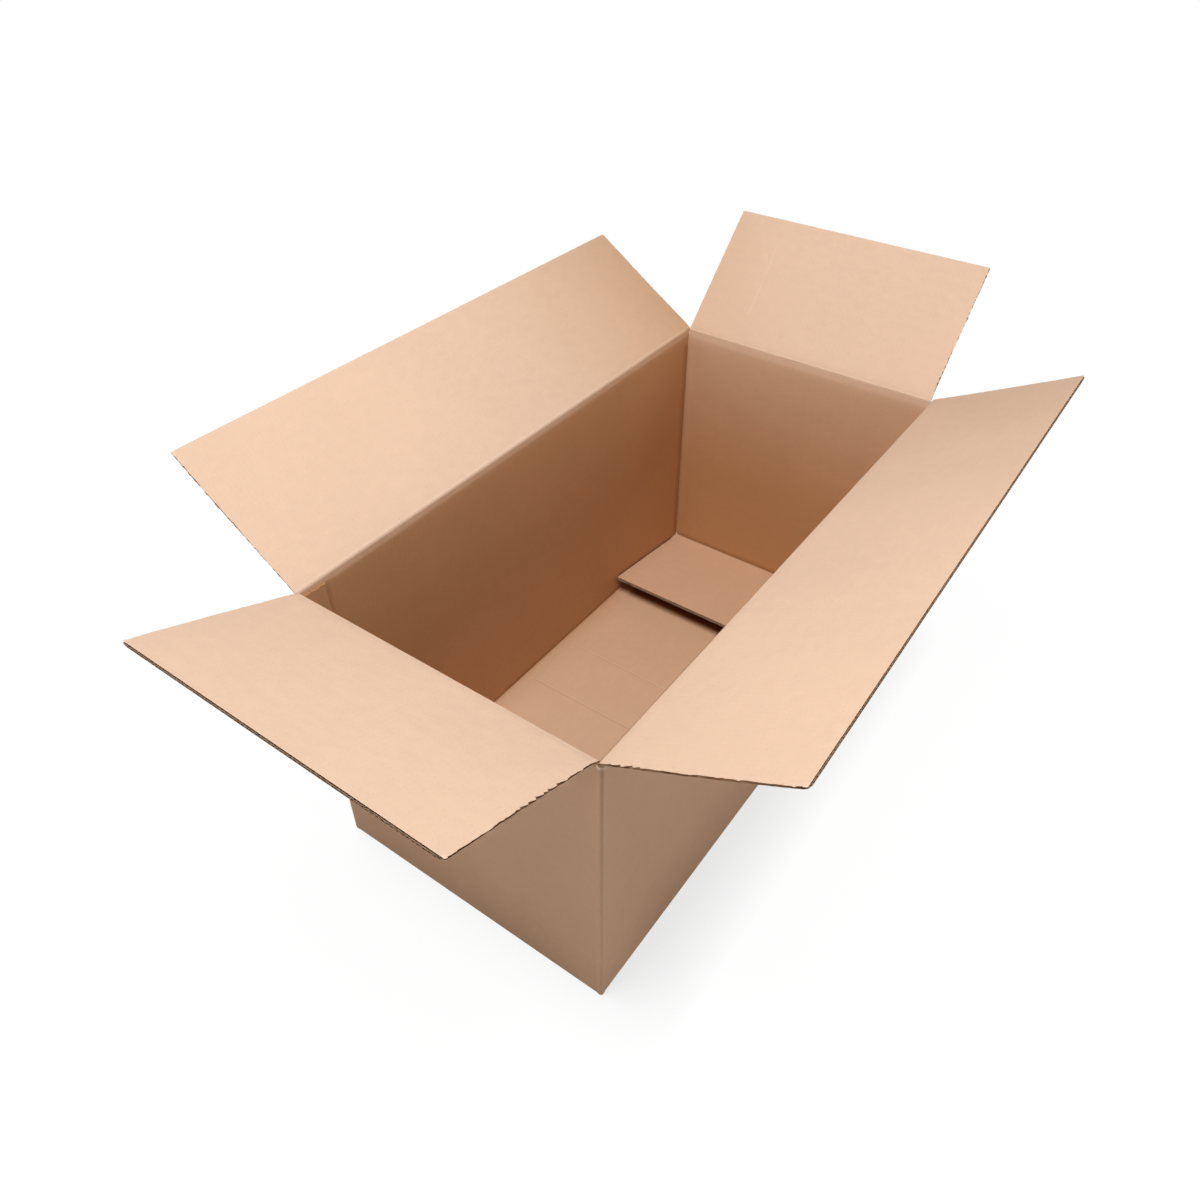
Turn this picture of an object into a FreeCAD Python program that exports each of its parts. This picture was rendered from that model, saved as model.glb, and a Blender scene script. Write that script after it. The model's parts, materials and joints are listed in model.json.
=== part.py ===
import FreeCAD, Part
import os
import Sketcher

# Open regular slotted carton in double-wall corrugated board, standing on its closed bottom flaps.
# X runs along the long walls towards the far end, Y across towards the left long wall, Z up.
# The origin is the middle of the bottom. The sheet is solid board here, at its true thickness.

# Driving dimensions in millimetres, and leans in degrees out from upright.
SIZES = (
    ("inside_length", 900, "between the two end walls"),
    ("inside_width", 450, "between the two long walls"),
    ("board", 7, "thickness of the double-wall board"),
    ("end_crease_height", 466, "floor to the score of the two end flaps"),
    ("layer_clearance", 0.5, "air between board layers that lie on each other when closed"),
    ("crease_gap", 0.3, "from each score's hinge line to the board on either side"),
    ("flap_length", 229, "score to free edge, the same for all flaps"),
    ("slot_clearance", 0.5, "from a flap's cut side to the wall's inner face beside it"),
    ("corner_radius", 4, "softened free corners of the flaps"),
    ("fold_radius", 3, "outside radius of the upright and bottom folds"),
    ("glue_flap_width", 42, "glue flap, from its fold to its free edge"),
    ("glue_flap_thickness", 5, "glue flap, crushed a little where it is glued"),
    ("glue_flap_slant", 14, "how far the glue flap's ends run back over its width"),
    ("glue_flap_foot", 8, "from the short bottom flap up to the glue flap's fold end"),
    ("left_lean", 57.8, "left long flap"),
    ("right_lean", 64, "right long flap"),
    ("far_lean", 44.9, "far end flap"),
    ("near_lean", 69, "near end flap"),
    ("far_floor_lift", 6, "short bottom flap at the far end, raised off the floor"),
    ("near_floor_lift", 4, "short bottom flap at the near end"),
)

doc = FreeCAD.newDocument("open_carton")
sheet = doc.addObject("Spreadsheet::Sheet", "sizes")
for row, (alias, number, note) in enumerate(SIZES, start=1):
    sheet.set(f"A{row}", alias)
    sheet.set(f"B{row}", str(number))
    sheet.set(f"C{row}", note)
    sheet.setAlias(f"B{row}", alias)
doc.recompute()

# Lengths that follow from the driving dimensions, as expressions on the sheet.
BOARD = "sizes.board"
HALF_INSIDE_LENGTH = "sizes.inside_length / 2"
HALF_INSIDE_WIDTH = "sizes.inside_width / 2"
HALF_LENGTH = f"({HALF_INSIDE_LENGTH} + {BOARD})"
HALF_WIDTH = f"({HALF_INSIDE_WIDTH} + {BOARD})"
END_CREASE = "sizes.end_crease_height"
LONG_CREASE = f"({END_CREASE} + {BOARD} + sizes.layer_clearance)"
END_TOP = f"({END_CREASE} - sizes.crease_gap)"
LONG_TOP = f"({LONG_CREASE} - sizes.crease_gap)"
LONG_FLAP_SPAN = "(sizes.inside_length - 2 * sizes.slot_clearance)"
END_FLAP_SPAN = "(sizes.inside_width - 2 * sizes.slot_clearance)"
SEAM_HALF = f"({HALF_WIDTH} - sizes.flap_length)"


def value(expression):
    """The present value of an expression on the sheet."""
    return float(doc.sizes.evalExpression(expression.replace("sizes.", "")))


def make_body(name):
    """An empty body whose label is the piece's name."""
    body = doc.addObject("PartDesign::Body", name)
    body.Label = name
    return body


def origin_plane(body, role):
    """One of the body's own three origin planes."""
    for feature in body.Origin.OriginFeatures:
        if feature.Role == role:
            return feature
    raise ValueError(role)


def outline(body, name, role, rings, height=None):
    """A sketch of closed rings of corners. Each corner is a pair of expressions from the sketch's origin."""
    sketch = body.newObject("Sketcher::SketchObject", name)
    sketch.AttachmentSupport = (origin_plane(body, role), "")
    sketch.MapMode = "FlatFace"
    if height is not None:
        sketch.setExpression("AttachmentOffset.Base.z", height)
    for ring in rings:
        spots = [FreeCAD.Vector(value(across), value(along), 0) for across, along in ring]
        first = sketch.GeometryCount
        count = len(ring)
        for step in range(count):
            sketch.addGeometry(Part.LineSegment(spots[step], spots[(step + 1) % count]), False)
        for step, (across, along) in enumerate(ring):
            line = first + step
            following = first + (step + 1) % count
            sketch.addConstraint(Sketcher.Constraint("Coincident", line, 2, following, 1))
            for kind, distance in (("DistanceX", across), ("DistanceY", along)):
                amount = value(distance)
                number = sketch.addConstraint(Sketcher.Constraint(kind, -1, 1, line, 1, amount))
                sketch.setExpression(f"Constraints[{number}]", distance)
    return sketch


def box_ring(low_x, high_x, low_y, high_y):
    """The four corners of an upright rectangle."""
    return ((low_x, low_y), (high_x, low_y), (high_x, high_y), (low_x, high_y))


def sweep(body, kind, name, sketch, length=None, both_ways=False, reverse=False):
    """A pad or pocket of a sketch: a bound length, or through everything where none is given."""
    feature = body.newObject(kind, name)
    feature.Profile = sketch
    if length is None:
        feature.Type = "ThroughAll"
    else:
        feature.setExpression("Length", length)
    feature.Midplane = both_ways
    feature.Reversed = reverse
    doc.recompute()
    body.Tip = feature
    return feature


def round_edges(body, name, base, radius, chosen):
    """A fillet on those edges of the base for which chosen(edge) holds."""
    names = [f"Edge{place}" for place, edge in enumerate(base.Shape.Edges, start=1) if chosen(edge)]
    feature = body.newObject("PartDesign::Fillet", name)
    feature.Base = (base, names)
    feature.setExpression("Radius", radius)
    doc.recompute()
    body.Tip = feature
    return feature


def is_upright(edge):
    """Whether a straight edge runs along Z."""
    return abs(edge.tangentAt(edge.FirstParameter).z) > 0.99


def is_on_floor(edge):
    """Whether an edge lies wholly in the plane the carton stands on."""
    return edge.BoundBox.ZMax < value(BOARD) / 100


def make_floor_flap(body, name, side, lift):
    """A short bottom flap: a slab from inside the end wall, raised from its fold by its lift."""
    start = HALF_INSIDE_LENGTH
    root = f"({HALF_INSIDE_LENGTH} + {BOARD} / 2)"
    low = f"({BOARD} + sizes.crease_gap)"
    reach = f"(sizes.flap_length - {BOARD})"
    tip_x = f"({start} - {reach} * cos({lift} * 1 deg))"
    tip_z = f"({low} + {reach} * sin({lift} * 1 deg))"
    rise_x = f"({BOARD} * sin({lift} * 1 deg))"
    rise_z = f"({BOARD} * cos({lift} * 1 deg))"
    root_top = f"({low} + {rise_z} + ({rise_x} - {BOARD} / 2) * tan({lift} * 1 deg))"
    ring = (
        (f"{side} * {root}", low),
        (f"{side} * {start}", low),
        (f"{side} * {tip_x}", tip_z),
        (f"{side} * ({tip_x} + {rise_x})", f"{tip_z} + {rise_z}"),
        (f"{side} * {root}", root_top),
    )
    section = outline(body, f"{name}_section", "XZ_Plane", [ring])
    return sweep(body, "PartDesign::Pad", name, section, END_FLAP_SPAN, both_ways=True)


def make_carton_body():
    """The walls, the glue flap and the closed bottom flaps of the one folded sheet."""
    body = make_body("carton_body")

    footprint = outline(body, "footprint", "XY_Plane",
                        [box_ring(f"-{HALF_LENGTH}", HALF_LENGTH, f"-{HALF_WIDTH}", HALF_WIDTH)])
    block = sweep(body, "PartDesign::Pad", "panels", footprint, LONG_TOP)
    folds = round_edges(body, "outside_folds", block, "sizes.fold_radius",
                        lambda edge: is_upright(edge) or is_on_floor(edge))

    inside_ring = box_ring(f"-{HALF_INSIDE_LENGTH}", HALF_INSIDE_LENGTH,
                           f"-{HALF_INSIDE_WIDTH}", HALF_INSIDE_WIDTH)
    inside = outline(body, "inside_outline", "XY_Plane", [inside_ring], height=BOARD)
    sweep(body, "PartDesign::Pocket", "inside", inside, reverse=True)

    # The long bottom flaps meet along the middle with a narrow seam, and stop short of the end walls.
    flap_end = f"({HALF_INSIDE_LENGTH} - sizes.slot_clearance)"
    seam_ring = (
        (f"-{HALF_INSIDE_LENGTH}", f"-{HALF_INSIDE_WIDTH}"), (f"-{flap_end}", f"-{HALF_INSIDE_WIDTH}"),
        (f"-{flap_end}", f"-{SEAM_HALF}"), (flap_end, f"-{SEAM_HALF}"),
        (flap_end, f"-{HALF_INSIDE_WIDTH}"), (HALF_INSIDE_LENGTH, f"-{HALF_INSIDE_WIDTH}"),
        (HALF_INSIDE_LENGTH, HALF_INSIDE_WIDTH), (flap_end, HALF_INSIDE_WIDTH),
        (flap_end, SEAM_HALF), (f"-{flap_end}", SEAM_HALF),
        (f"-{flap_end}", HALF_INSIDE_WIDTH), (f"-{HALF_INSIDE_LENGTH}", HALF_INSIDE_WIDTH),
    )
    seam = outline(body, "floor_seam_outline", "XY_Plane", [seam_ring])
    sweep(body, "PartDesign::Pocket", "floor_seam", seam, reverse=True)

    make_floor_flap(body, "far_floor_flap", 1, "sizes.far_floor_lift")
    make_floor_flap(body, "near_floor_flap", -1, "sizes.near_floor_lift")

    # The glue flap lies against the left long wall, from the near end wall, with slanted ends.
    glue_fold = f"(-({HALF_INSIDE_LENGTH}) - {BOARD} / 2)"
    glue_edge = f"(-({HALF_INSIDE_LENGTH}) + sizes.glue_flap_width)"
    glue_low = f"(2 * {BOARD} + sizes.glue_flap_foot)"
    glue_high = f"({END_CREASE} - {BOARD} - sizes.layer_clearance)"
    glue_ring = (
        (glue_fold, glue_low), (glue_edge, f"{glue_low} + sizes.glue_flap_slant"),
        (glue_edge, f"{glue_high} - sizes.glue_flap_slant"), (glue_fold, glue_high),
    )
    glue_face = outline(body, "glue_flap_outline", "XZ_Plane", [glue_ring],
                        height=f"-({HALF_INSIDE_WIDTH} - sizes.glue_flap_thickness)")
    sweep(body, "PartDesign::Pad", "glue_flap", glue_face,
          f"sizes.glue_flap_thickness + {BOARD} / 2", reverse=True)

    # At each top score the wall is mitred down from its outer face, so that the closed flap has room.
    long_mitre_ring = (
        (f"-{HALF_WIDTH}", LONG_TOP), (f"-{HALF_INSIDE_WIDTH}", f"{LONG_TOP} - {BOARD}"),
        (HALF_INSIDE_WIDTH, f"{LONG_TOP} - {BOARD}"), (HALF_WIDTH, LONG_TOP),
        (HALF_WIDTH, f"{LONG_TOP} + {BOARD}"), (f"-{HALF_WIDTH}", f"{LONG_TOP} + {BOARD}"),
    )
    long_mitre = outline(body, "long_mitre_outline", "YZ_Plane", [long_mitre_ring])
    sweep(body, "PartDesign::Pocket", "long_mitres", long_mitre, both_ways=True)

    clear_x = f"({HALF_LENGTH} + {BOARD})"
    end_mitre_ring = (
        (f"-{clear_x}", END_TOP), (f"-{HALF_LENGTH}", END_TOP),
        (f"-{HALF_INSIDE_LENGTH}", f"{END_TOP} - {BOARD}"), (HALF_INSIDE_LENGTH, f"{END_TOP} - {BOARD}"),
        (HALF_LENGTH, END_TOP), (clear_x, END_TOP),
        (clear_x, f"{LONG_TOP} + {BOARD}"), (f"-{clear_x}", f"{LONG_TOP} + {BOARD}"),
    )
    end_mitre = outline(body, "end_mitre_outline", "XZ_Plane", [end_mitre_ring])
    sweep(body, "PartDesign::Pocket", "end_mitres", end_mitre, "sizes.inside_width", both_ways=True)

    # The slots between neighbouring flaps run down to the lower score at all four corners.
    clear_y = f"({HALF_WIDTH} + {BOARD})"
    slot_rings = []
    for side_x in ("", "-"):
        for side_y in ("", "-"):
            slot_rings.append(box_ring(f"{side_x}{HALF_INSIDE_LENGTH}", f"{side_x}{clear_x}",
                                       f"{side_y}{HALF_INSIDE_WIDTH}", f"{side_y}{clear_y}"))
    slots = outline(body, "corner_slot_outline", "XY_Plane", slot_rings, height=END_TOP)
    sweep(body, "PartDesign::Pocket", "corner_slots", slots, reverse=True)
    return body


def make_flap(name, role, side, span, hinge, axis, lean):
    """A top flap. Its own origin lies on its hinge line, and it leans out from upright.

    The section is a slab whose outer face holds the hinge line, mitred back at its root.
    """
    body = make_body(name)
    inner = f"{-side} * {BOARD}"
    ring = (
        ("0", "sizes.crease_gap"), ("0", "sizes.flap_length"),
        (inner, "sizes.flap_length"), (inner, f"sizes.crease_gap + {BOARD}"),
    )
    section = outline(body, f"{name}_section", role, [ring])
    slab = sweep(body, "PartDesign::Pad", f"{name}_board", section, span, both_ways=True)
    free_edge = value("sizes.flap_length")

    def is_free_corner(edge):
        """Whether an edge runs through the board at a corner of the free edge."""
        size = edge.BoundBox
        return size.ZMin > free_edge - value(BOARD) / 100 and edge.Length < 1.01 * value(BOARD)

    round_edges(body, f"{name}_corners", slab, "sizes.corner_radius", is_free_corner)
    body.Placement = FreeCAD.Placement(FreeCAD.Vector(0, 0, 0), FreeCAD.Rotation(axis, value(lean)))
    for letter, place in zip("xyz", hinge):
        body.setExpression(f"Placement.Base.{letter}", place)
    body.setExpression("Placement.Rotation.Angle", f"{lean} * 1 deg")
    return body


pieces = [
    make_carton_body(),
    make_flap("left_long_flap", "YZ_Plane", 1, LONG_FLAP_SPAN, ("0", HALF_WIDTH, LONG_CREASE),
              FreeCAD.Vector(-1, 0, 0), "sizes.left_lean"),
    make_flap("right_long_flap", "YZ_Plane", -1, LONG_FLAP_SPAN, ("0", f"-{HALF_WIDTH}", LONG_CREASE),
              FreeCAD.Vector(1, 0, 0), "sizes.right_lean"),
    make_flap("far_end_flap", "XZ_Plane", 1, END_FLAP_SPAN, (HALF_LENGTH, "0", END_CREASE),
              FreeCAD.Vector(0, 1, 0), "sizes.far_lean"),
    make_flap("near_end_flap", "XZ_Plane", -1, END_FLAP_SPAN, (f"-{HALF_LENGTH}", "0", END_CREASE),
              FreeCAD.Vector(0, -1, 0), "sizes.near_lean"),
]
doc.recompute()

for item in doc.Objects:
    if "Invalid" in item.State or "Error" in item.State:
        raise RuntimeError(f"{item.Name} failed: {item.State}")
for piece in pieces:
    if piece.Shape.isNull() or not piece.Shape.isValid():
        raise RuntimeError(f"{piece.Label} has no valid shape")

os.makedirs("parts", exist_ok=True)
for piece in pieces:
    piece.Shape.exportStep(f"parts/{piece.Label}.step")
    box = piece.Shape.BoundBox
    print(f"{piece.Label}: {len(piece.Shape.Solids)} solid, {piece.Shape.Volume / 1000:.0f} cm3,",
          f"x {box.XMin:.1f} to {box.XMax:.1f}, y {box.YMin:.1f} to {box.YMax:.1f},",
          f"z {box.ZMin:.1f} to {box.ZMax:.1f}")
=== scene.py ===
# %% [markdown]
# # An open corrugated carton
# The real thing is one sheet of double-wall corrugated board: brown kraft paper on both faces, a paper
# between, and two fluted mediums. It is slotted, scored and folded into a box with its bottom closed and
# its four top flaps folded outwards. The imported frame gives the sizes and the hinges, so the lesson
# starts by reading it.

# %% Load the frame
import json
import math

import bmesh
import bpy
import numpy as np
from mathutils import Euler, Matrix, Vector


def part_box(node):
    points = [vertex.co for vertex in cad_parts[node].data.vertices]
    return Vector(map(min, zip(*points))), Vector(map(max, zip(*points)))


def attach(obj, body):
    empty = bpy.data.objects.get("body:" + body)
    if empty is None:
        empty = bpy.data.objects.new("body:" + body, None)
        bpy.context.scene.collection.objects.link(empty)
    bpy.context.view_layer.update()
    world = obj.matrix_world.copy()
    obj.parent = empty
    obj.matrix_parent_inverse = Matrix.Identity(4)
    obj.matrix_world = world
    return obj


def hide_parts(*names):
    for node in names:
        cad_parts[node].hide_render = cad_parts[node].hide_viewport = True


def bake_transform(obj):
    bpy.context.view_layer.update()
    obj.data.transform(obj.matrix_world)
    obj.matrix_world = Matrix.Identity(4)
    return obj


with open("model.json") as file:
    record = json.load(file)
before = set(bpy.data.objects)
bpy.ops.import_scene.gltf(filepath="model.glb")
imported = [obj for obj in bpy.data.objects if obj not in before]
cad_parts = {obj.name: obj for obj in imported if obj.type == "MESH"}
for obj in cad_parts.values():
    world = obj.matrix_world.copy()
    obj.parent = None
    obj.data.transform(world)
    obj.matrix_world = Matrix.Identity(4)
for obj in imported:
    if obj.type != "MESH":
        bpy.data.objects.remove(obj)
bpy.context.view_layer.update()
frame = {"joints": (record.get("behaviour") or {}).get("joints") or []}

# %% [markdown]
# ## The sizes of the carton
# The walls' outer faces come from the box of the carton's body. Each flap's hinge line, lean and length
# come from its joint and its own box, because a closed flap lies level: its lean is what its range has
# beyond a quarter turn.

# %% Read the sizes
MM = 0.001
BOARD = 7 * MM
UP = np.array([0.0, 0.0, 1.0])
body_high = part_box("carton_body")[1]
HALF_LENGTH = body_high.x
HALF_WIDTH = body_high.y
SLOT_CLEARANCE = 0.5 * MM
TOP_FLAPS = {
    "left_long_flap": ((0, 1, 0), (1, 0, 0)),
    "right_long_flap": ((0, -1, 0), (1, 0, 0)),
    "far_end_flap": ((1, 0, 0), (0, 1, 0)),
    "near_end_flap": ((-1, 0, 0), (0, 1, 0)),
}
HINGES = {}
for joint in frame["joints"]:
    outward, along = (np.array(side, float) for side in TOP_FLAPS[joint["child"]])
    lean = math.radians(-joint["range_deg"][0] - 90)
    low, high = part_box(joint["child"])
    pivot = np.array(joint["pos_m"], float)
    reach = (high.z - pivot[2] - BOARD * math.sin(lean)) / math.cos(lean)
    span = abs(np.array(high - low) @ along) / 2
    HINGES[joint["child"]] = {"pivot": pivot, "out": outward, "along": along, "lean": lean,
                              "length": reach, "half": span}
    print(joint["child"], "leans", round(math.degrees(lean), 1), "length mm", round(reach / MM, 1),
          "half span mm", round(span / MM, 1))

# %% [markdown]
# ## The camera
# The picture is taken from above the near right corner, about a metre and a half from the middle of the
# box, with a rather wide lens.
# The place and the turn were solved from the corners of the walls and flaps. It comes first, because
# every later step is judged through it.

# %% Set the camera
CAMERA_PLACE = (-0.9685, -0.5960, 1.2299)
CAMERA_TILT = 49.37
CAMERA_TURN = -54.356
LENS = 28.96

scene = bpy.context.scene
camera_data = bpy.data.cameras.new("camera")
camera = bpy.data.objects.new("camera", camera_data)
scene.collection.objects.link(camera)
camera.location = CAMERA_PLACE
camera.rotation_euler = Euler((math.radians(CAMERA_TILT), 0, math.radians(CAMERA_TURN)))
camera_data.lens = LENS
camera_data.sensor_width = 36
camera_data.clip_start = 0.05
camera_data.clip_end = 50
scene.camera = camera
print("camera at", CAMERA_PLACE, "lens", LENS)

# %% [markdown]
# ## From two skins to a closed piece of board
# A piece of board is an inner skin and an outer skin, both grids of the same size, with a rim between
# them. On the real board the rim isn't flat: the two papers end in thin lips, and between them one looks
# into the hollow of the flutes. So the rim is a chain of rings that goes over the lip, into a pocket and
# out over the other lip. Working it out as arrays keeps it to one function for all panels.

# %% Make meshes from grids
SMOOTH_ANGLE = 38


def rim_loop(rows, columns):
    """The grid places (row, column) of a grid's border, once round."""
    first = [(0, column) for column in range(columns)]
    right = [(row, columns - 1) for row in range(1, rows)]
    last = [(rows - 1, column) for column in range(columns - 2, -1, -1)]
    left = [(row, 0) for row in range(rows - 2, 0, -1)]
    return np.array(first + right + last + left)


def grid_faces(rows, columns, start):
    """The four corners of every cell of a grid whose points are numbered row by row from start."""
    row, column = np.meshgrid(np.arange(rows - 1), np.arange(columns - 1), indexing="ij")
    corner = start + row * columns + column
    return np.stack([corner, corner + 1, corner + columns + 1, corner + columns], -1).reshape(-1, 4)


def ring_faces(first, second):
    """The cells between two closed rings of point numbers."""
    return np.stack([first, np.roll(first, -1), np.roll(second, -1), second], -1)


def make_mesh(name, points, faces, materials, face_material, flat_place, marks):
    """A mesh object with outward faces, the board's flat coordinates as UV map, and point attributes."""
    mesh = bpy.data.meshes.new(name)
    mesh.from_pydata(points, [], faces.tolist())
    for material in materials:
        mesh.materials.append(material)
    mesh.polygons.foreach_set("material_index", face_material.astype(np.int32))
    uv_map = mesh.uv_layers.new(name="blank")
    corner_points = np.empty(len(mesh.loops), np.int32)
    mesh.loops.foreach_get("vertex_index", corner_points)
    uv_map.data.foreach_set("uv", flat_place[corner_points].astype(np.float32).ravel())
    for label, values in marks.items():
        attribute = mesh.attributes.new(label, "FLOAT", "POINT")
        attribute.data.foreach_set("value", values.astype(np.float32))
    shell = bmesh.new()
    shell.from_mesh(mesh)
    bmesh.ops.recalc_face_normals(shell, faces=shell.faces)
    shell.to_mesh(mesh)
    shell.free()
    mesh.polygons.foreach_set("use_smooth", np.ones(len(mesh.polygons), bool))
    mesh.set_sharp_from_angle(angle=math.radians(SMOOTH_ANGLE))
    piece = bpy.data.objects.new(name, mesh)
    scene.collection.objects.link(piece)
    return piece

# %% [markdown]
# ## Paper that isn't perfectly straight
# A slotting knife leaves a ragged edge along the flutes, and a tired flap is never quite flat. Both come
# from two seeded helpers: straight pieces between random heights for a torn edge, and a sum of a few long
# waves for a warp. The same seed gives the same paper each run. Two plain helpers, a bell and a climb, say
# how a mark or a shape fades along the board.

# %% Ragged lines and slow waves
def ragged(place, spacing, height, seed):
    """Random heights at even spacing, joined by straight lines and read at each place."""
    draws = np.random.default_rng(seed)
    low = place.min() - 2 * spacing
    knots = np.arange(low, place.max() + 2 * spacing, spacing)
    return np.interp(place, knots, draws.uniform(-height, height, len(knots)))


def bell(distance, reach):
    """1 at no distance, easing to nothing at about twice the reach."""
    return np.exp(-(distance / reach) ** 2)


def climb(distance, reach):
    """0 up to no distance, and 1 from the reach on."""
    return np.clip(distance / reach, 0, 1)


def slow_waves(first, second, size, height, seed):
    """A sum of five plane waves over two coordinates, each about size long, with random turns and phases."""
    draws = np.random.default_rng(seed)
    total = np.zeros(np.broadcast(first, second).shape)
    for _ in range(5):
        turn, phase = draws.uniform(0, 2 * np.pi, 2)
        length = size * draws.uniform(0.7, 1.6)
        across = first * np.cos(turn) + second * np.sin(turn)
        total = total + np.sin(2 * np.pi * across / length + phase)
    return height * total / 5

# %% [markdown]
# ## The papers
# Four materials do all the work. The inside liner is a pale, smooth test paper, the outside liner a
# browner kraft, the fluted medium a raw brown, and the cut lips show the fibres of the liners. Each reads
# the UV map, which holds the place on the flat blank in metres, so fibres and flute marks run the way
# they ran in the mill, over the folds and into the flaps, and stay put when a flap turns.
# What the eye needs from kraft is not one brown: it is slow clouds of tone, short fibres lying along the
# mill direction, a few dark and light specks, and the faint washboard that the flutes press through.

# %% Node helpers
def add_node(tree, kind, **settings):
    """A node of a kind with its properties set."""
    node = tree.nodes.new(kind)
    for key, value in settings.items():
        setattr(node, key, value)
    return node


def fresh_tree(owner):
    """The emptied node tree of a material or a world."""
    owner.use_nodes = True
    owner.node_tree.nodes.clear()
    return owner.node_tree


def wire(tree, source, target):
    """Joins an output socket to an input socket."""
    tree.links.new(source, target)


def math_node(tree, operation, first, second=None, clamp=False):
    """A Math node. Numbers are set on its sockets, and sockets are joined to it."""
    node = add_node(tree, "ShaderNodeMath", operation=operation, use_clamp=clamp)
    for socket, value in zip(node.inputs, (first, second)):
        if value is None:
            continue
        if isinstance(value, (int, float)):
            socket.default_value = value
        else:
            wire(tree, value, socket)
    return node.outputs[0]


def scaled_place(tree, place, scale):
    """The place on the blank, multiplied by a scale along each of its two directions."""
    node = add_node(tree, "ShaderNodeMapping")
    wire(tree, place, node.inputs["Vector"])
    node.inputs["Scale"].default_value = (*scale, 1)
    return node.outputs[0]


def noise(tree, place, scale, detail=3.0, rough=0.55):
    """Noise on the blank. scale is cells per metre along and across the mill direction."""
    node = add_node(tree, "ShaderNodeTexNoise")
    wire(tree, scaled_place(tree, place, scale), node.inputs["Vector"])
    node.inputs["Scale"].default_value = 1.0
    node.inputs["Detail"].default_value = detail
    node.inputs["Roughness"].default_value = rough
    return node.outputs[0]


def ramp(tree, value, stops):
    """A colour ramp with (position, grey level) stops."""
    node = add_node(tree, "ShaderNodeValToRGB")
    wire(tree, value, node.inputs[0])
    elements = node.color_ramp.elements
    while len(elements) < len(stops):
        elements.new(0.5)
    for element, (position, level) in zip(elements, stops):
        element.position = position
        element.color = (level, level, level, 1)
    return node.outputs[0]


def tint(tree, colour, factor, paint, mode="MULTIPLY"):
    """Mixes a paint into a colour by a factor, which is a number or a socket."""
    node = add_node(tree, "ShaderNodeMix", data_type="RGBA", blend_type=mode)
    for socket, value in ((node.inputs[0], factor), (node.inputs[6], colour), (node.inputs[7], paint)):
        if isinstance(value, (int, float)):
            socket.default_value = value
        elif isinstance(value, tuple):
            socket.default_value = (*value, 1)
        else:
            wire(tree, value, socket)
    return node.outputs[2]


def mark(tree, label):
    """A point attribute of the piece, as a factor."""
    node = add_node(tree, "ShaderNodeAttribute", attribute_name=label)
    return node.outputs["Fac"]

# %% [markdown]
# ## Mixing a paper
# One function mixes all four, because they differ only in colour, in sheen and in the flutes that press
# through. The tone is built up in thin layers, each a share of a noise on the flat blank. Three marks of
# the pieces steer it. The depth mark is painted shade: it darkens the paper where the box's shade falls
# deep inside it. The score mark is painted shade too, a dark line in scores, creases, corners and gaps.
# The wear mark lightens real worn edges and torn tips, and also paints highlights along rims and creases.
# So a score or a torn edge needs no material of its own.

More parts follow.
